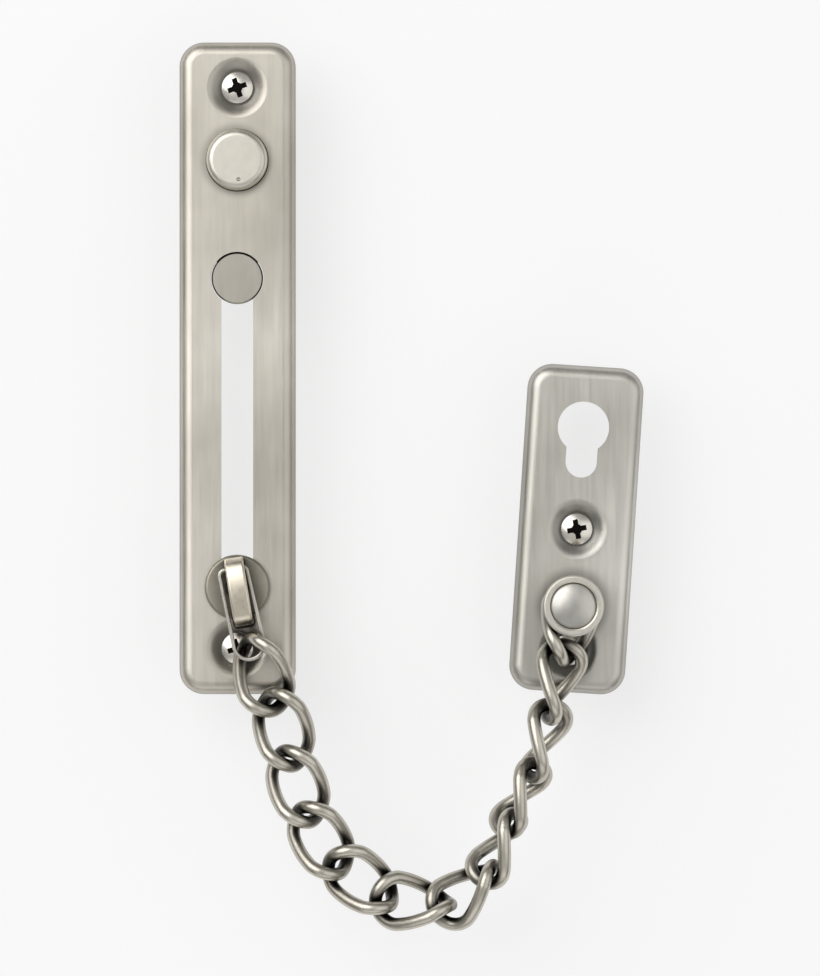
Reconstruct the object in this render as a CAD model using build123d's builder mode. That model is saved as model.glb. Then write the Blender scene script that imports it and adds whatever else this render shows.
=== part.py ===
from build123d import *
import math
import os

os.makedirs("parts", exist_ok=True)

# ---------------------------------------------------------------- driving dimensions, mm
# Origin: on the door face, midway between the track's two screws.
# X runs across to the keeper, Y runs up the track, Z points out of the door.

PLATE_W = 25.5
TRACK_L = 143.2
KEEPER_L = 71.8
PLATE_H = 5.0
SHEET = 1.2
CORNER_R = 5.4
EDGE_R = 2.8

TRACK_SCREW_Y = 61.5
SCREW_HEAD_R = 3.4
SCREW_NECK_R = 2.0
SHANK_R = 1.75
SHANK_TOP = 1.5
SHANK_END = -3.0
SCREW_TIP = -16.0
DIMPLE_R = 6.8
DIMPLE_D = 1.3
DIMPLE_FLOOR_R = 3.7

BUTTON_Y = 45.6
BUTTON_R = 6.7
BUTTON_TOP = 8.6
BUTTON_HOLE_R = 6.9
ENTRY_Y = 19.7
ENTRY_R = 5.8
BLOCK_R = 5.65
SLOT_W = 7.0
SLIDER_Y = -48.0
EYE_LEAN = 9.3
RING_LEAN = 12.3

WIRE_D = 2.9
LINK_LEN = 16.5
LINK_W = 10.4
LINK_TWIST = 110.0

STUD_X = 73.4
STUD_Y = -51.9
KEEPER_TURN = -3.75
KEEPER_SCREWS = (0.0, -26.5)
KEEPER_STUD = -16.6
KEYHOLE_Y = 22.4
KEYHOLE_R = 5.65
KEYNECK_Y = 14.8
KEYNECK_W = 6.9

# Resting place of each link: centre x, y, z, heading, rise, roll
LINKS = [
    (5.6, -67.0, 10.1, -73, 0, 12),
    (10.3, -79.0, 10.0, -74, 0, 0),
    (13.4, -91.4, 10.2, -69, 0, 0),
    (18.5, -103.2, 10.4, -59, 0, -2),
    (27.3, -112.0, 10.6, -38, 0, -12),
    (38.6, -116.6, 10.8, -4, 0, -35),
    (50.1, -114.2, 11.1, 42, 0, -48),
    (57.3, -104.7, 11.3, 61, 0, -76),
    (62.0, -93.8, 11.5, 61, 0, -92),
    (66.9, -81.5, 11.7, 72, 0, -106),
    (70.1, -68.6, 11.9, 78, 0, -120),
    (72.6, -55.7, 11.0, 81, -7, -157),
]


# ---------------------------------------------------------------- shared shapes
def pressed_shell(length):
    """A pressed cover plate: rolled edge, open back, even sheet."""
    with BuildPart() as hollow:
        with BuildSketch(Plane.XY.offset(-1)):
            RectangleRounded(PLATE_W - 2 * SHEET, length - 2 * SHEET, CORNER_R - SHEET)
        extrude(amount=PLATE_H - SHEET + 1)
        fillet(hollow.faces().sort_by(Axis.Z)[-1].edges(), radius=EDGE_R - SHEET)
    with BuildPart() as shell:
        with BuildSketch(Plane.XY):
            RectangleRounded(PLATE_W, length, CORNER_R)
        extrude(amount=PLATE_H)
        fillet(shell.faces().sort_by(Axis.Z)[-1].edges(), radius=EDGE_R)
        add(hollow.part, mode=Mode.SUBTRACT)
    return shell.part


def dimple_line(drop, grow):
    """Soft S-shaped wall of a dimple, from its floor out to the flat."""
    floor = (DIMPLE_FLOOR_R + grow, PLATE_H - DIMPLE_D - drop)
    rim = (DIMPLE_R + grow, PLATE_H + 0.004 - drop)
    return Spline(floor, rim, tangents=((1, 0.25), (1, 0)))


def dimple_boss():
    """Sheet pushed down under a screw head, before the dish is cut."""
    low = PLATE_H - SHEET - DIMPLE_D
    with BuildPart() as boss:
        with BuildSketch(Plane.XZ):
            with BuildLine():
                wall = dimple_line(SHEET, 0.5)
                Polyline(wall @ 1, (DIMPLE_R + 0.5, PLATE_H - SHEET + 0.2), (0, PLATE_H - SHEET + 0.2))
                Polyline((0, PLATE_H - SHEET + 0.2), (0, low), wall @ 0)
            make_face()
        revolve(axis=Axis.Z)
    return boss.part


def dimple_cut():
    """The dish and screw hole of one dimple."""
    with BuildPart() as dish:
        with BuildSketch(Plane.XZ):
            with BuildLine():
                wall = dimple_line(0, 0)
                Polyline(wall @ 1, (DIMPLE_R, PLATE_H + 1), (0, PLATE_H + 1), (0, 0))
                Polyline((0, 0), (SCREW_NECK_R + 0.2, 0), (SCREW_NECK_R + 0.2, PLATE_H - DIMPLE_D), wall @ 0)
            make_face()
        revolve(axis=Axis.Z)
    return dish.part


def cross_screw(turn):
    """Oval-head cross-recess wood screw standing on its dimple floor."""
    seat = PLATE_H - DIMPLE_D
    with BuildPart() as screw:
        with BuildSketch(Plane.XZ):
            with BuildLine():
                l1 = Line((0, seat + 0.02), (SCREW_HEAD_R - 0.15, seat + 0.02))
                l2 = Line(l1 @ 1, (SCREW_HEAD_R, seat + 0.2))
                l3 = Line(l2 @ 1, (SCREW_HEAD_R, seat + 0.6))
                l4 = ThreePointArc(l3 @ 1, (SCREW_HEAD_R * 0.66, seat + 1.12), (0, seat + 1.4))
                Line(l4 @ 1, l1 @ 0)
            make_face()
        revolve(axis=Axis.Z)
        with BuildSketch(Plane.XY.offset(SHANK_TOP)):
            Circle(SCREW_NECK_R)
        extrude(amount=seat + 0.1 - SHANK_TOP)
        with BuildSketch(Plane.XY.offset(SHANK_END)):
            Circle(SHANK_R)
        extrude(amount=SHANK_TOP - SHANK_END)
        # threads: stacked ridges running down to a point
        points = [(0, SHANK_END)]
        pitch = 1.3
        count = 9
        points.append((1.2, SHANK_END))
        for i in range(count):
            z = SHANK_END - 0.3 - i * pitch
            fade = 1.0 if i < 6 else (9.3 - i) / 3.6
            points.append((1.15 * fade, z))
            points.append((1.7 * fade, z - pitch * 0.42))
            points.append((1.7 * fade, z - pitch * 0.52))
        points.append((0.12, SCREW_TIP + 0.25))
        points.append((0, SCREW_TIP))
        with BuildSketch(Plane.XZ):
            with BuildLine():
                Polyline(*points, close=True)
            make_face()
        revolve(axis=Axis.Z)
        # cross recess
        with BuildSketch(Plane.XY.offset(seat + 0.4)):
            Rectangle(4.3, 1.15, rotation=turn)
            Rectangle(1.15, 4.3, rotation=turn)
        extrude(amount=2, mode=Mode.SUBTRACT)
        with BuildSketch(Plane.XY.offset(seat + 0.15)):
            Circle(1.15)
        extrude(amount=2, mode=Mode.SUBTRACT)
    return screw.part


# ---------------------------------------------------------------- track plate
with BuildPart() as track_plate:
    add(pressed_shell(TRACK_L))
    with Locations((0, TRACK_SCREW_Y, 0), (0, -TRACK_SCREW_Y, 0)):
        add(dimple_boss())
    with Locations((0, TRACK_SCREW_Y, 0), (0, -TRACK_SCREW_Y, 0)):
        add(dimple_cut(), mode=Mode.SUBTRACT)
    with BuildSketch(Plane.XY):
        with Locations((0, BUTTON_Y)):
            Circle(BUTTON_HOLE_R)
        with Locations((0, ENTRY_Y)):
            Circle(ENTRY_R)
        with Locations((0, (ENTRY_Y + SLIDER_Y) / 2)):
            SlotCenterToCenter(ENTRY_Y - SLIDER_Y, SLOT_W, rotation=90)
    extrude(amount=PLATE_H + 1, mode=Mode.SUBTRACT)
track_plate.part.label = "track_plate"

with BuildPart() as track_screws:
    with Locations((0, TRACK_SCREW_Y, 0)):
        add(cross_screw(20))
    with Locations((0, -TRACK_SCREW_Y, 0)):
        add(cross_screw(17))
track_screws.part.label = "track_screws"

# ---------------------------------------------------------------- push-button lock
LOCK_Z = 2.6
LOCK_T = 0.6
with BuildPart() as lock_plate:
    with BuildSketch(Plane.XY.offset(LOCK_Z)):
        with Locations((0, 33.8)):
            RectangleRounded(9.0, 38.4, 3.0)
        with Locations((0, BUTTON_Y)):
            Circle(7.2)
    extrude(amount=LOCK_T)
    # rivet holes under the button and the blocking disc
    with BuildSketch(Plane.XY.offset(LOCK_Z)):
        with Locations((0, BUTTON_Y), (0, ENTRY_Y)):
            Circle(1.5)
    extrude(amount=LOCK_T, mode=Mode.SUBTRACT)
lock_plate.part.label = "lock_plate"

with BuildPart() as blocking_disc:
    with BuildSketch(Plane.XY.offset(LOCK_Z + LOCK_T)):
        with Locations((0, ENTRY_Y)):
            Circle(BLOCK_R)
    extrude(amount=1.4)
    chamfer(blocking_disc.faces().sort_by(Axis.Z)[-1].edges(), length=0.3)
    with BuildSketch(Plane.XY.offset(LOCK_Z)):
        with Locations((0, ENTRY_Y)):
            Circle(1.5)
    extrude(amount=LOCK_T)
blocking_disc.part.label = "blocking_disc"

with BuildPart() as push_button:
    with BuildSketch(Plane.XY.offset(LOCK_Z + LOCK_T)):
        with Locations((0, BUTTON_Y)):
            Circle(BUTTON_R)
    extrude(amount=BUTTON_TOP - LOCK_Z - LOCK_T)
    fillet(push_button.faces().sort_by(Axis.Z)[-1].edges(), radius=1.5)
    with BuildSketch(Plane.XY.offset(LOCK_Z + LOCK_T)):
        with Locations((0, BUTTON_Y)):
            Circle(8.2)
    extrude(amount=0.5)
    with BuildSketch(Plane.XY.offset(LOCK_Z)):
        with Locations((0, BUTTON_Y)):
            Circle(1.5)
    extrude(amount=LOCK_T)
    with Locations((0.4, BUTTON_Y - 4.4, BUTTON_TOP + 0.05)):
        Sphere(0.45, mode=Mode.SUBTRACT)
push_button.part.label = "push_button"

# bow spring between the door and the lock plate
with BuildPart() as bow_spring:
    with BuildSketch(Plane.YZ.offset(-3)):
        with BuildLine():
            outer = ThreePointArc((24.0, 0.35), (33.0, LOCK_Z - 0.02), (42.0, 0.35))
            Line(outer @ 1, (42.0, 0))
            inner = ThreePointArc((42.0, 0), (33.0, LOCK_Z - 0.37), (24.0, 0))
            Line(inner @ 1, outer @ 0)
        make_face()
    extrude(amount=6)
bow_spring.part.label = "bow_spring"

# ---------------------------------------------------------------- slider, swivel eye, ring
with BuildPart() as slider_stud:
    with BuildSketch(Plane.XY.offset(2.5)):
        with Locations((0, SLIDER_Y)):
            Circle(5.5)
    extrude(amount=1.0)
    with BuildSketch(Plane.XY.offset(3.5)):
        with Locations((0, SLIDER_Y)):
            Circle(3.25)
    extrude(amount=1.8)
    with BuildSketch(Plane.XY.offset(5.3)):
        with Locations((0, SLIDER_Y)):
            Circle(1.5)
    extrude(amount=1.65)
    with BuildSketch(Plane.XY.offset(6.95)):
        with Locations((0, SLIDER_Y)):
            Circle(2.3)
    extrude(amount=0.75)
    fillet(slider_stud.faces().sort_by(Axis.Z)[-1].edges(), radius=0.6)
slider_stud.part.label = "slider_stud"

EYE_FRAME = Location((0.35, SLIDER_Y, 0), (0, 0, EYE_LEAN))
RING_FRAME = Location((0, SLIDER_Y, 0), (0, 0, RING_LEAN))
DISC_LOW = 5.35
DISC_TOP = 6.9
EYE_W = 4.2
EYE_L = 15.0
EYE_MID = -0.95
EYE_TOP = 12.9
EYE_SHEET = 1.2

with BuildPart() as slider_disc:
    with BuildSketch(Plane.XY.offset(DISC_LOW)):
        with Locations((0, SLIDER_Y)):
            Circle(7.1)
            Circle(1.55, mode=Mode.SUBTRACT)
    extrude(amount=DISC_TOP - DISC_LOW)
    rim_edges = slider_disc.faces().sort_by(Axis.Z)[-1].edges().sort_by(SortBy.LENGTH)[-1]
    fillet(rim_edges, radius=0.7)
    # lug that carries the eye's lower leg
    with BuildSketch(Plane(EYE_FRAME).offset(DISC_LOW)):
        with Locations((0, -7.0)):
            RectangleRounded(5.0, 4.2, 1.2)
    extrude(amount=DISC_TOP - DISC_LOW - 0.2)
    with BuildSketch(Plane(EYE_FRAME).offset(DISC_LOW)):
        with Locations((0, EYE_MID + EYE_L / 2 - 0.6), (0, EYE_MID - EYE_L / 2 + 0.6)):
            Rectangle(2.6, 1.2)
    extrude(amount=2, mode=Mode.SUBTRACT)
slider_disc.part.label = "slider_disc"

with BuildPart() as eye_local:
    far, near = EYE_MID + EYE_L / 2, EYE_MID - EYE_L / 2
    with BuildSketch(Plane.YZ.offset(-EYE_W / 2)):
        with BuildLine():
            crown = ThreePointArc((near + 2.2, 12.1), (EYE_MID, EYE_TOP), (far - 2.2, 12.1))
            back = TangentArc(crown @ 1, (far, 9.3), tangent=crown % 1)
            front = TangentArc(crown @ 0, (near, 9.3), tangent=-(crown % 0))
            Polyline(back @ 1, (far, DISC_TOP), (near, DISC_TOP), front @ 1)
        make_face()
        with Locations((EYE_MID, 8.6)):
            RectangleRounded(EYE_L - 2 * EYE_SHEET, 5.8, 1.4, mode=Mode.SUBTRACT)
        with Locations((EYE_MID, 7.4)):
            Rectangle(EYE_L - 2 * EYE_SHEET, 3.0, mode=Mode.SUBTRACT)
    extrude(amount=EYE_W)
    fillet(eye_local.edges().filter_by(lambda e: e.length > 8 and e.center().Z > 11.9), radius=0.55)
    with BuildSketch(Plane.XY.offset(DISC_LOW + 0.1)):
        with Locations((0, EYE_MID + EYE_L / 2 - 0.6), (0, EYE_MID - EYE_L / 2 + 0.6)):
            Rectangle(2.6, 1.2)
    extrude(amount=DISC_TOP - DISC_LOW)
with BuildPart() as swivel_eye:
    with Locations(EYE_FRAME):
        add(eye_local.part)
swivel_eye.part.label = "swivel_eye"

RING_Z = 9.7
RING_DEEP = 2.4
RING_T = 0.8
with BuildPart() as ring_local:
    for inset, mode in ((0, Mode.ADD), (RING_T, Mode.SUBTRACT)):
        with BuildSketch(Plane.XY.offset(RING_Z - RING_DEEP / 2)):
            with Locations((0, -12.7)):
                Circle(3.7 - inset)
            with Locations((1.9, 3.05), (-1.9, 3.05)):
                Circle(1.55 - inset)
            make_hull()
        extrude(amount=RING_DEEP, mode=mode)
with BuildPart() as connecting_ring:
    with Locations(RING_FRAME):
        add(ring_local.part)
connecting_ring.part.label = "connecting_ring"

# ---------------------------------------------------------------- twisted links
END_R = LINK_W / 2
STRAIGHT = LINK_LEN - LINK_W


def link_point(share):
    """Centreline point of a twisted link, share running 0 to 1 around it."""
    arc = math.pi * END_R
    total = 2 * (STRAIGHT + arc)
    run = (share % 1.0) * total
    if run < STRAIGHT:
        s, l = -STRAIGHT / 2 + run, END_R
    elif run < STRAIGHT + arc:
        a = (run - STRAIGHT) / END_R
        s, l = STRAIGHT / 2 + END_R * math.sin(a), END_R * math.cos(a)
    elif run < 2 * STRAIGHT + arc:
        s, l = STRAIGHT / 2 - (run - STRAIGHT - arc), -END_R
    else:
        a = (run - 2 * STRAIGHT - arc) / END_R
        s, l = -STRAIGHT / 2 - END_R * math.sin(a), -END_R * math.cos(a)
    turn = math.radians(-LINK_TWIST * s / LINK_LEN)
    return (s, l * math.cos(turn), l * math.sin(turn))


def link_solid(steps):
    """One closed link, swept as two halves that meet at their ends."""
    with BuildPart() as link:
        for first in (0, steps // 2):
            ends = []
            for share in (first / steps, (first + steps // 2) / steps):
                after = Vector(*link_point(share + 0.0005))
                ends.append((after - Vector(*link_point(share - 0.0005))).normalized())
            points = [link_point((first + k) / steps) for k in range(steps // 2 + 1)]
            with BuildLine() as half_path:
                half = Spline(*points, tangents=ends)
            with BuildSketch(Plane(origin=half @ 0, z_dir=half % 0)):
                Circle(WIRE_D / 2)
            sweep(path=half_path.wires()[0])
    return link.part


def link_place(x, y, z, heading, rise, roll):
    """Resting place of a link."""
    place = Location((x, y, z)) * Location((0, 0, 0), (0, 0, heading))
    return place * Location((0, 0, 0), (0, -rise, 0)) * Location((0, 0, 0), (roll, 0, 0))


one_link = link_solid(40)
for number, place in enumerate(LINKS, start=1):
    name = "end_link" if number == len(LINKS) else f"chain_link_{number:02d}"
    with BuildPart() as chain_link:
        add(one_link.moved(link_place(*place)))
    chain_link.part.label = name
    export_step(chain_link.part, f"parts/{name}.step")

# ---------------------------------------------------------------- keeper
turn = math.radians(KEEPER_TURN)
KEEPER_FRAME = Location(
    (STUD_X + KEEPER_STUD * math.sin(turn), STUD_Y - KEEPER_STUD * math.cos(turn), 0),
    (0, 0, KEEPER_TURN),
)
with BuildPart() as keeper_local:
    add(pressed_shell(KEEPER_L))
    with Locations((0, KEEPER_SCREWS[0], 0), (0, KEEPER_SCREWS[1], 0)):
        add(dimple_boss())
    with Locations((0, KEEPER_SCREWS[0], 0), (0, KEEPER_SCREWS[1], 0)):
        add(dimple_cut(), mode=Mode.SUBTRACT)
    with BuildSketch(Plane.XY):
        with Locations((0, KEYHOLE_Y)):
            Circle(KEYHOLE_R)
        with Locations((0, (KEYHOLE_Y + KEYNECK_Y) / 2)):
            SlotCenterToCenter(KEYHOLE_Y - KEYNECK_Y, KEYNECK_W, rotation=90)
        with Locations((0, KEEPER_STUD)):
            Circle(2.3)
    extrude(amount=PLATE_H + 1, mode=Mode.SUBTRACT)
with BuildPart() as keeper_plate:
    with Locations(KEEPER_FRAME):
        add(keeper_local.part)
keeper_plate.part.label = "keeper_plate"

with BuildPart() as keeper_screws:
    with Locations(KEEPER_FRAME * Location((0, KEEPER_SCREWS[0], 0))):
        add(cross_screw(15))
    with Locations(KEEPER_FRAME * Location((0, KEEPER_SCREWS[1], 0))):
        add(cross_screw(25))
keeper_screws.part.label = "keeper_screws"

COLLAR_LOW = 13.7
CAP_TOP = 17.2
with BuildPart() as stud_local:
    with BuildSketch(Plane.XY.offset(2.8)):
        Circle(3.4)
    extrude(amount=PLATE_H - SHEET - 2.8)
    with BuildSketch(Plane.XY.offset(PLATE_H - SHEET)):
        Circle(2.3)
    extrude(amount=SHEET)
    with BuildSketch(Plane.XY.offset(PLATE_H)):
        Circle(2.6)
    extrude(amount=COLLAR_LOW - PLATE_H)
    with BuildSketch(Plane.XY.offset(COLLAR_LOW)):
        Circle(1.9)
    extrude(amount=0.9)
    with BuildSketch(Plane.XZ):
        with BuildLine():
            low = Polyline(
                (0, COLLAR_LOW + 0.8),
                (2.2, COLLAR_LOW + 0.8),
                (4.95, COLLAR_LOW + 2.45),
                (4.95, CAP_TOP - 0.9),
            )
            dome = ThreePointArc(low @ 1, (2.8, CAP_TOP - 0.28), (0.3, CAP_TOP))
            Polyline(dome @ 1, (0, CAP_TOP), low @ 0)
        make_face()
    revolve(axis=Axis.Z)
with BuildPart() as keeper_stud:
    add(stud_local.part.moved(Location((STUD_X, STUD_Y, 0))))
keeper_stud.part.label = "keeper_stud"

with BuildPart() as collar_local:
    with BuildSketch(Plane.XZ):
        with BuildLine():
            Polyline(
                (1.9, COLLAR_LOW),
                (2.6, COLLAR_LOW),
                (6.5, COLLAR_LOW + 2.42),
                (6.65, COLLAR_LOW + 2.6),
                (6.65, CAP_TOP - 0.3),
                (6.4, CAP_TOP - 0.05),
                (6.1, CAP_TOP),
                (5.45, CAP_TOP),
                (5.15, CAP_TOP - 0.15),
                (5.05, CAP_TOP - 0.4),
                (5.05, COLLAR_LOW + 2.51),
                (2.2, COLLAR_LOW + 0.8),
                (1.9, COLLAR_LOW + 0.8),
                close=True,
            )
        make_face()
    revolve(axis=Axis.Z)
with BuildPart() as stud_collar:
    add(collar_local.part.moved(Location((STUD_X, STUD_Y, 0))))
stud_collar.part.label = "stud_collar"

# ---------------------------------------------------------------- export
export_step(track_plate.part, "parts/track_plate.step")
export_step(track_screws.part, "parts/track_screws.step")
export_step(lock_plate.part, "parts/lock_plate.step")
export_step(blocking_disc.part, "parts/blocking_disc.step")
export_step(push_button.part, "parts/push_button.step")
export_step(bow_spring.part, "parts/bow_spring.step")
export_step(slider_stud.part, "parts/slider_stud.step")
export_step(slider_disc.part, "parts/slider_disc.step")
export_step(swivel_eye.part, "parts/swivel_eye.step")
export_step(connecting_ring.part, "parts/connecting_ring.step")
export_step(keeper_plate.part, "parts/keeper_plate.step")
export_step(keeper_screws.part, "parts/keeper_screws.step")
export_step(keeper_stud.part, "parts/keeper_stud.step")
export_step(stud_collar.part, "parts/stud_collar.step")
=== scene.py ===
import bpy
import bmesh
import math
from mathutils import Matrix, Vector


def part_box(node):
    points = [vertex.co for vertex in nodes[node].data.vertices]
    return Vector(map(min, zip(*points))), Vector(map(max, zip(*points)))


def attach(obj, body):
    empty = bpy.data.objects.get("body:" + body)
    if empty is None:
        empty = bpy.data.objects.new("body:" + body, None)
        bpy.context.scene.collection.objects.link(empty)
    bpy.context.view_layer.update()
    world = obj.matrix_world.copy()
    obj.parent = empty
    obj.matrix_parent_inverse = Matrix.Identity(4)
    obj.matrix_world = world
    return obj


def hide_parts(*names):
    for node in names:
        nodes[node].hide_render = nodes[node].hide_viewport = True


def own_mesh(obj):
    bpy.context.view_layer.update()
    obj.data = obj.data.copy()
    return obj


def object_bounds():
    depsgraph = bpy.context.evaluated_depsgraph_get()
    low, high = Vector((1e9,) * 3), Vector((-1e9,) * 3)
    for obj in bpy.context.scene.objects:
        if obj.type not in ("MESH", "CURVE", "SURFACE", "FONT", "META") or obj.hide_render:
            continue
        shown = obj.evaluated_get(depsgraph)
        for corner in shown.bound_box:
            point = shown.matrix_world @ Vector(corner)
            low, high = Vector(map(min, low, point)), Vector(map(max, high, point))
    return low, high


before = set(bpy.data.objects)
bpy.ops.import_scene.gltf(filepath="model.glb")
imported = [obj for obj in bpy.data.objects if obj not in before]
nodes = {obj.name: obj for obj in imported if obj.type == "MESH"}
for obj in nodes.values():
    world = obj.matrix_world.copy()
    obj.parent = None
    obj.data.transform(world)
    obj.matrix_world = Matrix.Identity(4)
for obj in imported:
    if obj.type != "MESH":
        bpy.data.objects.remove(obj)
cad_low, cad_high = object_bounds()
scene = bpy.context.scene
scene.view_settings.view_transform = "Standard"

# places and sizes taken from the part, in metres
SCREW_HEAD_RADIUS = 0.0034
SPRING_THICK = 0.00035
KEEPER_LEAN = 3.75  # degrees, top of the keeper to the right
# the ring is worked out in millimetres
MM = 1000.0
RING_LEAN = 12.3  # degrees, foot of the ring to the right
SLIDER_Y = -48.0  # the slider at rest
RING_Z = 9.7  # middle of the ring's depth, above the door


# ------------------------------------------------------------------ materials
class Nodes:
    """Small helper for building a material's node tree."""

    def __init__(self, name):
        self.mat = bpy.data.materials.new(name)
        self.mat.use_nodes = True
        self.tree = self.mat.node_tree
        self.bsdf = self.tree.nodes["Principled BSDF"]
        self.coord = self.tree.nodes.new("ShaderNodeTexCoord")

    def add(self, kind, **values):
        node = self.tree.nodes.new("ShaderNode" + kind)
        for key, value in values.items():
            setattr(node, key, value)
        return node

    def link(self, a, b):
        self.tree.links.new(a, b)

    def noise(self, scale, detail=3.0, rough=0.55, stretch=(1, 1, 1), turn=0.0):
        mapping = self.add("Mapping")
        mapping.inputs["Scale"].default_value = stretch
        mapping.inputs["Rotation"].default_value = (0, 0, turn)
        self.link(self.coord.outputs["Object"], mapping.inputs["Vector"])
        noise = self.add("TexNoise")
        noise.inputs["Scale"].default_value = scale
        noise.inputs["Detail"].default_value = detail
        noise.inputs["Roughness"].default_value = rough
        self.link(mapping.outputs["Vector"], noise.inputs["Vector"])
        return noise.outputs["Fac"]

    def range(self, value, low, high, out_low, out_high, **kind):
        node = self.add("MapRange", **kind)
        node.inputs["From Min"].default_value = low
        node.inputs["From Max"].default_value = high
        node.inputs["To Min"].default_value = out_low
        node.inputs["To Max"].default_value = out_high
        self.link(value, node.inputs["Value"])
        return node.outputs["Result"]

    def mix(self, factor, a, b, blend="MIX"):
        node = self.add("Mix", data_type="RGBA", blend_type=blend)
        if isinstance(factor, float):
            node.inputs[0].default_value = factor
        else:
            self.link(factor, node.inputs[0])
        for socket, value in ((node.inputs[6], a), (node.inputs[7], b)):
            if isinstance(value, tuple):
                socket.default_value = (*value, 1.0)
            else:
                self.link(value, socket)
        return node.outputs[2]

    def recess_shade(self, distance, low, high, local=False):
        """Painted shade from ambient occlusion: 0 in crevices, 1 on open surface."""
        ao = self.add("AmbientOcclusion", only_local=local)
        ao.samples = 8
        ao.inputs["Distance"].default_value = distance
        return self.range(ao.outputs["AO"], low, high, 0.0, 1.0)

    def shade_halo(self, centre, inner, outer, amount, wobble):
        """Painted shade round a centre: amount inside, 0 outside, its edge pushed about by the wobble."""
        flat = self.add("VectorMath", operation="MULTIPLY")
        self.link(self.coord.outputs["Object"], flat.inputs[0])
        flat.inputs[1].default_value = (1, 1, 0)
        far = self.add("VectorMath", operation="DISTANCE")
        self.link(flat.outputs["Vector"], far.inputs[0])
        far.inputs[1].default_value = (centre[0], centre[1], 0)
        wide = self.add("Math", operation="MULTIPLY_ADD")
        self.link(wobble, wide.inputs[0])
        push = (outer - inner) * 1.6
        wide.inputs[1].default_value = push
        self.link(far.outputs["Value"], wide.inputs[2])
        return self.range(
            wide.outputs[0], inner + push / 2, outer + push / 2, amount, 0.0, interpolation_type="SMOOTHSTEP"
        )

    def facing(self, low, high, dim):
        """Painted shade on the sides: 1 where the surface faces out of the door, falling to dim where it turns
        away.
        """
        split = self.add("SeparateXYZ")
        self.link(self.coord.outputs["Normal"], split.inputs[0])
        return self.range(split.outputs["Z"], low, high, dim, 1.0)

    def height_band(self, low, high, soft):
        """1 between two heights above the door, 0 elsewhere."""
        split = self.add("SeparateXYZ")
        self.link(self.coord.outputs["Object"], split.inputs[0])
        both = self.add("Math", operation="MULTIPLY")
        self.link(self.range(split.outputs["Z"], low - soft, low, 0.0, 1.0), both.inputs[0])
        self.link(self.range(split.outputs["Z"], high, high + soft, 1.0, 0.0), both.inputs[1])
        return both.outputs[0]

    def shade(self, colour, factor):
        """A colour dimmed by a factor."""
        grey = self.add("CombineColor")
        for k in range(3):
            self.link(factor, grey.inputs[k])
        return self.mix(1.0, colour, grey.outputs[0], "MULTIPLY")

    def bump(self, height, strength, distance):
        node = self.add("Bump")
        node.inputs["Strength"].default_value = strength
        node.inputs["Distance"].default_value = distance
        self.link(height, node.inputs["Height"])
        self.link(node.outputs["Normal"], self.bsdf.inputs["Normal"])


NOISE_SPAN = (0.3, 0.7)  # where most of a noise lies
# near-black colour of painted shade, for crevices and for the screws' cross and head edge
PAINTED_SHADE = (0.020, 0.018, 0.015)
HALO_SHADE = 0.10  # share of the colour left in the painted shade of a halo
GRAIN_DEPTH = 0.00002
FINE = (900, 900, 900)  # brush: even grain
SHALLOW_SHADE = (0.0012, 0.15, 0.7)  # painted crevice shade: reach, darkest, clear


def satin_nickel(
    name, light, rough, brush=None, turn=0.0, recess_shade=None, cloud=(90.0, 0.84), streaks=0.06,
    shade_halos=(), local=False, grain=1.0, wall_shade=None, shade_band=None, dark=PAINTED_SHADE,
):
    """Satin nickel: fine brushing and cloudy wear, with painted shade in halos, in crevices, on the sides and in a
    height range.

    cloud is (scale, dimming). Each halo of painted shade is (centre, inner, outer, amount). The crevice,
    side and height-range shade are set by the arguments of the crevice shade method, facing and height_band.
    """
    n = Nodes(name)
    clouds = n.noise(cloud[0], 3.0, 0.55, stretch=(1, 0.6, 1))
    if brush:
        lines = n.noise(1.0, 3.0, 0.65, stretch=brush, turn=turn)
    else:
        lines = n.noise(1400.0, 3.0, 0.65)
    worn = tuple(c * cloud[1] * k for c, k in zip(light, (1.0, 0.99, 0.97)))
    base = n.mix(n.range(clouds, 0.32, 0.68, 0.0, 1.0), light, worn)
    base = n.shade(base, n.range(lines, *NOISE_SPAN, 1.0 - streaks, 1.0 + streaks))
    # painted shade round screws and raised bosses
    for centre, inner, outer, amount in shade_halos:
        halo_colour = tuple(c * HALO_SHADE for c in light)
        base = n.mix(n.shade_halo(centre, inner, outer, amount, clouds), base, halo_colour)
    # painted shade on sides turned away from the door face
    if wall_shade:
        base = n.shade(base, n.facing(*wall_shade))
    # painted shade between two heights
    if shade_band:
        base = n.mix(n.height_band(*shade_band), base, dark)
    # painted shade in crevices, from ambient occlusion
    if recess_shade:
        base = n.mix(n.recess_shade(*recess_shade, local), dark, base)
    n.link(base, n.bsdf.inputs["Base Color"])
    n.bsdf.inputs["Metallic"].default_value = 1.0
    n.link(n.range(lines, *NOISE_SPAN, rough - 0.05, rough + 0.06), n.bsdf.inputs["Roughness"])
    n.bump(lines, 0.10 * grain, GRAIN_DEPTH)
    return n.mat


def middle_of(name):
    """Middle of a node's box, seen square to the door."""
    low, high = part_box(name)
    return ((low.x + high.x) / 2, (low.y + high.y) / 2)


def ends_of(name):
    """Middles of the two screws that share a node, from its box. The upper one is further right."""
    low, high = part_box(name)
    r = SCREW_HEAD_RADIUS
    return ((high.x - r, high.y - r), (low.x + r, low.y + r))


def plate_nickel(name, light, turn, screws, bosses):
    """Brushed plate, with painted shade round its screws and bosses, in its hollows and on its sides."""
    shade_halos = [(c, 0.0036, 0.0074, 0.55) for c in screws]
    shade_halos += [(c, 0.0033, 0.0047, 0.80) for c in screws]
    shade_halos += [(c, 0.0062, 0.0092, 0.50) for c in bosses]
    return satin_nickel(
        name, light, 0.40, (1500, 60, 1500), turn, (0.0020, 0.15, 0.7), (42.0, 0.70), 0.035, shade_halos, True,
        wall_shade=(0.15, 0.8, 0.38),
    )


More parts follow.
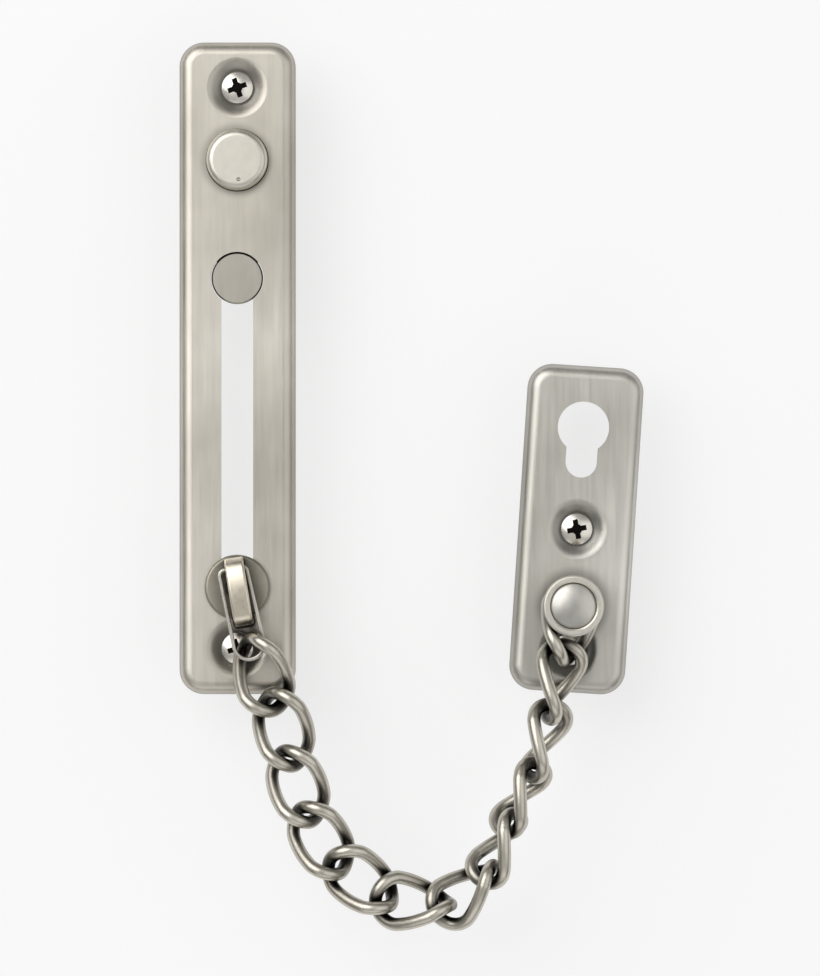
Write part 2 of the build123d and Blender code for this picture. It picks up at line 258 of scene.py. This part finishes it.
track_mat = plate_nickel(
    "satin_nickel_plate", (0.80, 0.757, 0.67), 0.0, ends_of("track_screws"), [middle_of("push_button")]
)
keeper_mat = plate_nickel(
    "satin_nickel_keeper", (0.83, 0.81, 0.74), math.radians(KEEPER_LEAN),
    ends_of("keeper_screws"), [middle_of("keeper_stud")],
)
# the cap's nickel painted darker on the dome: painted shade
dome_shaded_mat = satin_nickel(
    "satin_nickel_dome_shaded", (0.66, 0.645, 0.60), 0.34, FINE, 0, SHALLOW_SHADE, (260.0, 0.86), 0.02, grain=0.4
)
# painted shade between the links and on their sides and undersides
link_mat = satin_nickel(
    "satin_nickel_link", (0.74, 0.70, 0.61), 0.33, None, 0, (0.0050, 0.56, 0.96), (160.0, 0.80), 0.0,
    grain=0.0, wall_shade=(-0.3, 0.8, 0.40),
)
# each material below that is given crevice arguments gets painted shade in its crevices
cap_mat = satin_nickel(
    "satin_nickel_cap", (0.82, 0.785, 0.705), 0.38, FINE, 0, SHALLOW_SHADE, (50.0, 0.92), 0.015, grain=0.4
)
ring_mat = satin_nickel(
    "satin_nickel_ring", (0.74, 0.71, 0.64), 0.30, FINE, 0, (0.0026, 0.25, 0.9), (200.0, 0.85), 0.02, grain=0.2
)
strap_mat = satin_nickel(
    "satin_nickel_strap", (0.88, 0.81, 0.67), 0.32, FINE, 0, (0.0022, 0.2, 0.8), (200.0, 0.85), 0.02, grain=0.2
)
disc_mat = satin_nickel(
    "satin_nickel_disc", (0.50, 0.47, 0.39), 0.40, FINE, 0, (0.0040, 0.50, 0.99), (120.0, 0.8), 0.03, grain=0.4
)
block_mat = satin_nickel(
    "satin_nickel_block", (0.56, 0.53, 0.47), 0.42, (900, 90, 900), 0, (0.0012, 0.2, 0.8), (120.0, 0.88), 0.03
)
# painted shade: the height range paints the floor of the cross-shaped hollow near black, and the lower edge of the
# head with it
screw_mat = satin_nickel(
    "screw_nickel", (0.92, 0.88, 0.81), 0.30, FINE, 0, None, (200.0, 0.92), 0.02,
    grain=0.3, shade_band=(0.0037, 0.00414, 0.00008), dark=(0.010, 0.009, 0.008),
)
steel_mat = satin_nickel("spring_strip_steel", (0.36, 0.36, 0.36), 0.4, (300, 1200, 300), 0, (0.002, 0.2, 0.7))
zinc_mat = satin_nickel("zinc_strip", (0.45, 0.45, 0.44), 0.45, (600, 80, 600), 0, (0.002, 0.2, 0.7))

PAINT = {
    "track_plate": track_mat,
    "keeper_plate": keeper_mat,
    "track_screws": screw_mat,
    "keeper_screws": screw_mat,
    "push_button": cap_mat,
    "blocking_disc": block_mat,
    "lock_plate": zinc_mat,
    "bow_spring": steel_mat,
    "slider_stud": disc_mat,
    "slider_disc": disc_mat,
    "swivel_eye": strap_mat,
    "connecting_ring": ring_mat,
    "keeper_stud": dome_shaded_mat,
    "stud_collar": cap_mat,
}


def paint(obj, mat):
    """Gives every slot of an object one material."""
    if not obj.material_slots:
        obj.data.materials.append(mat)
    for s in obj.material_slots:
        s.material = mat


# the links are the nodes not named in PAINT
for name, obj in nodes.items():
    paint(obj, PAINT.get(name, link_mat))


def loft(name, rows, mat, closed, smooth):
    """Skin through rows of points; closed joins the last row to the first, else the ends are capped."""
    mesh = bpy.data.meshes.new(name)
    bm = bmesh.new()
    rows = [[bm.verts.new(point) for point in row] for row in rows]
    count = len(rows[0])
    for a, b in zip(rows, rows[1:] + rows[:1] if closed else rows[1:]):
        for k in range(count):
            bm.faces.new((a[k], a[(k + 1) % count], b[(k + 1) % count], b[k])).smooth = smooth
    if closed:
        bmesh.ops.remove_doubles(bm, verts=bm.verts, dist=1e-7)
    else:
        bm.faces.new(rows[0][::-1])
        bm.faces.new(rows[-1])
    bmesh.ops.recalc_face_normals(bm, faces=bm.faces)
    bm.to_mesh(mesh)
    bm.free()
    obj = bpy.data.objects.new(name, mesh)
    scene.collection.objects.link(obj)
    paint(obj, mat)
    return obj


# ------------------------------------------------------------------ bow spring
def spring_rows(steps=40):
    """Flat strip bent into a low parabola that fills the node's box."""
    low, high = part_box("bow_spring")
    half = (high.x - low.x) / 2
    for i in range(steps + 1):
        u = i / steps
        y = low.y + (high.y - low.y) * u
        z = (high.z - SPRING_THICK) * 4 * u * (1 - u)
        corners = ((-half, 0), (half, 0), (half, SPRING_THICK), (-half, SPRING_THICK))
        yield [(x, y, z + t) for x, t in corners]


strip = loft("bow_spring_strip", list(spring_rows()), steel_mat, closed=False, smooth=False)
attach(strip, "track")
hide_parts("bow_spring")
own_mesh(strip)


# ------------------------------------------------------------------ connecting ring
def ring_path(steps=14):
    """Middle line of the obround ring: points and outward normals, mm, in its own frame."""
    low_y, low_r, top_x, top_y, top_r = -12.7, 3.3, 1.9, 3.05, 1.15
    reach = math.hypot(top_x, top_y - low_y)
    lean = math.atan2(top_x, top_y - low_y)
    side = math.asin((low_r - top_r) / reach) - lean
    arcs = [
        (0.0, low_y, low_r, math.pi - side, 2 * math.pi + side, steps * 2),
        (top_x, top_y, top_r, side, math.pi / 2, steps),
        (-top_x, top_y, top_r, math.pi / 2, math.pi - side, steps),
    ]
    for cx, cy, r, start, end, count in arcs:
        for i in range(count + 1):
            t = start + (end - start) * i / count
            yield (cx + r * math.cos(t), cy + r * math.sin(t)), (math.cos(t), math.sin(t))


def strip_section(thick=0.8, deep=2.4, corner=0.26, steps=4):
    """Rounded cross-section of the strip: outward and upward offsets, mm."""
    for k, (sx, sz) in enumerate(((1, 1), (-1, 1), (-1, -1), (1, -1))):
        for i in range(steps + 1):
            t = math.pi / 2 * (k + i / steps)
            yield sx * (thick / 2 - corner) + corner * math.cos(t), sz * (deep / 2 - corner) + corner * math.sin(t)


def ring_rows():
    turn = math.radians(RING_LEAN)
    for (px, py), (nx, ny) in ring_path():
        row = []
        for out, up in strip_section():
            x, y = px + nx * out, py + ny * out
            wx = x * math.cos(turn) - y * math.sin(turn)
            wy = x * math.sin(turn) + y * math.cos(turn) + SLIDER_Y
            row.append((wx / MM, wy / MM, (RING_Z + up) / MM))
        yield row


ring = loft("ring_strip", list(ring_rows()), ring_mat, closed=True, smooth=True)
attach(ring, "ring")
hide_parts("connecting_ring")

# ------------------------------------------------------------------ floor
FLOOR_HALF = 3.0
FLOOR_GAP = 0.0005
floor_z = cad_low[2] - FLOOR_GAP
corners = ((-1, -1), (1, -1), (1, 1), (-1, 1))
floor_mesh = bpy.data.meshes.new("floor")
floor_mesh.from_pydata([(x * FLOOR_HALF, y * FLOOR_HALF, floor_z) for x, y in corners], [], [(0, 1, 2, 3)])
floor = bpy.data.objects.new("floor", floor_mesh)
scene.collection.objects.link(floor)
pale = Nodes("pale_floor")
mottle = pale.range(pale.noise(6.0), *NOISE_SPAN, 0.0, 1.0)
pale.link(pale.mix(mottle, (0.34, 0.34, 0.34), (0.33, 0.33, 0.33)), pale.bsdf.inputs["Base Color"])
pale.bsdf.inputs["Roughness"].default_value = 0.8
pale.bsdf.inputs["Emission Color"].default_value = (1, 1, 1, 1)
pale.bsdf.inputs["Emission Strength"].default_value = 0.68
floor.data.materials.append(pale.mat)


# ------------------------------------------------------------------ light
def area(name, place, target, size, power):
    """White rectangular light, aimed at the target."""
    data = bpy.data.lights.new(name, "AREA")
    data.shape = "RECTANGLE"
    data.size, data.size_y = size
    data.energy = power
    obj = bpy.data.objects.new(name, data)
    obj.location = place
    obj.rotation_euler = (Vector(target) - Vector(place)).to_track_quat("-Z", "Y").to_euler()
    scene.collection.objects.link(obj)


middle = Vector((0.038, -0.026, 0.005))
area("key", (-0.55, 0.45, 0.95), middle, (1.1, 1.1), 7.0)
area("fill", (0.85, -0.05, 0.85), middle, (1.2, 1.2), 2.4)
area("low_front", (0.0, -0.9, 0.5), middle, (1.2, 0.5), 1.2)

# world: dark at the horizon and below it, pale overhead
HORIZON, OVERHEAD, WORLD_STRENGTH = 0.08, 0.95, 0.46
world = bpy.data.worlds.new("studio")
scene.world = world
world.use_nodes = True
tree = world.node_tree
back = tree.nodes["Background"]
direction = tree.nodes.new("ShaderNodeTexCoord")
split = tree.nodes.new("ShaderNodeSeparateXYZ")
ramp = tree.nodes.new("ShaderNodeValToRGB")
tree.links.new(direction.outputs["Generated"], split.inputs[0])
tree.links.new(split.outputs["Z"], ramp.inputs[0])
tree.links.new(ramp.outputs[0], back.inputs[0])
for stop, place, grey in zip(ramp.color_ramp.elements, (0.0, 0.9), (HORIZON, OVERHEAD)):
    stop.position = place
    stop.color = (grey, grey, grey, 1)
back.inputs[1].default_value = WORLD_STRENGTH

# ------------------------------------------------------------------ camera
VIEW_HEIGHT = 0.2140  # what the frame's height takes in, at the faces of the plates
PLATE_FACE = 0.005
cam = bpy.data.cameras.new("camera")
cam.lens = 200.0
cam.sensor_width = 36.0
cam.clip_start = 0.01
cam.clip_end = 20.0
camera = bpy.data.objects.new("camera", cam)
camera.location = (0.0379, -0.0263, PLATE_FACE + VIEW_HEIGHT * cam.lens / cam.sensor_width)
scene.collection.objects.link(camera)
scene.camera = camera
